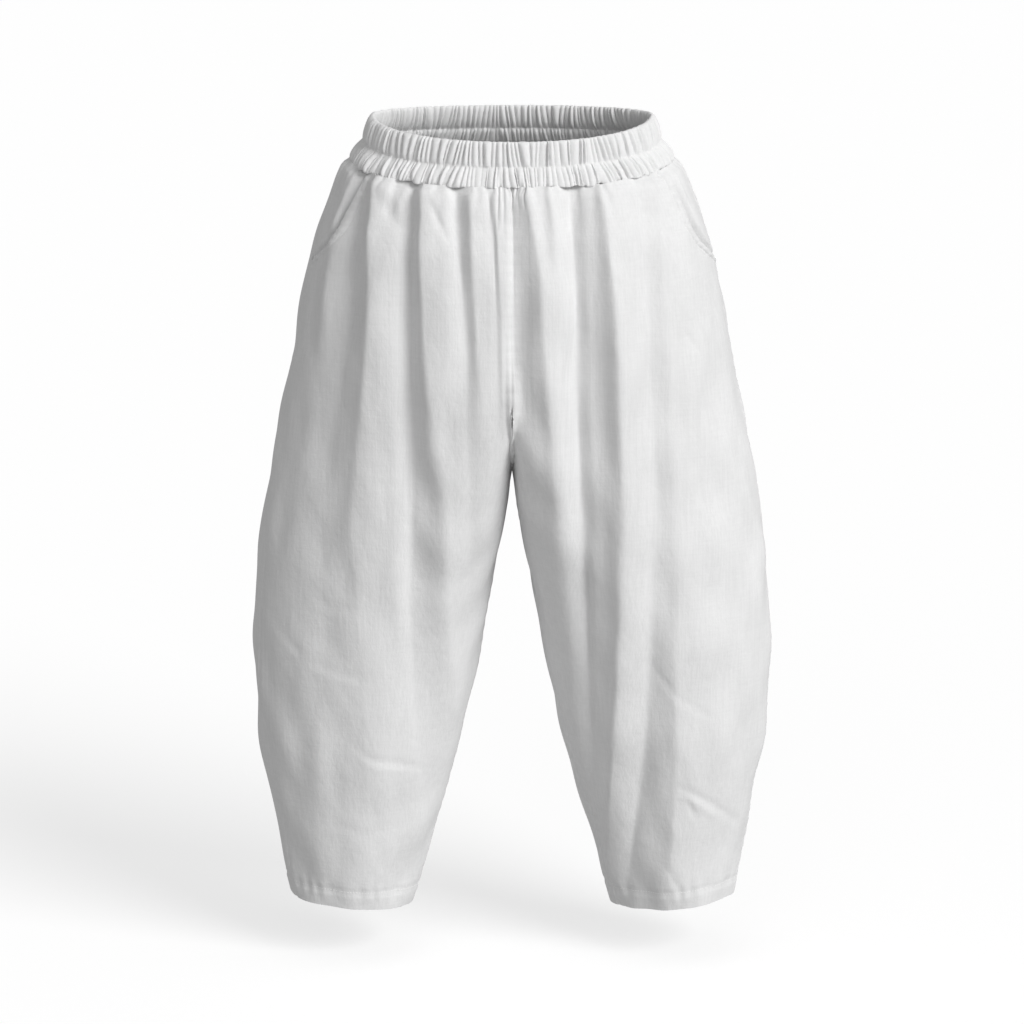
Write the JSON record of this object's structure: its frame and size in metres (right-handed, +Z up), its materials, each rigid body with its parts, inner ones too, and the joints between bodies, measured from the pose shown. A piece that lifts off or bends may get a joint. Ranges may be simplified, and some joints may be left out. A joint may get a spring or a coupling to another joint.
{
  "type": "baggy trousers",
  "caption": "Baggy trousers with barrel legs, a gathered elastic waistband and slant front pockets, hollow and filled out as if worn.",
  "frame": {"origin": "the middle of the waistband, half way between rim and waist seam at the sides, where the wearer holds the trousers up", "axes": "+Z up, the front faces -Y, +X towards the wearer's left side"},
  "size_m": [0.5713, 0.3136, 0.879],
  "materials": {
    "cotton_linen": "matte"
  },
  "bodies": {
    "root": {"waistband": "cotton_linen", "front_left": "cotton_linen", "front_right": "cotton_linen", "back_left": "cotton_linen", "back_right": "cotton_linen", "pocket_facing_left": "cotton_linen", "pocket_facing_right": "cotton_linen"}
  },
  "joints": []
}
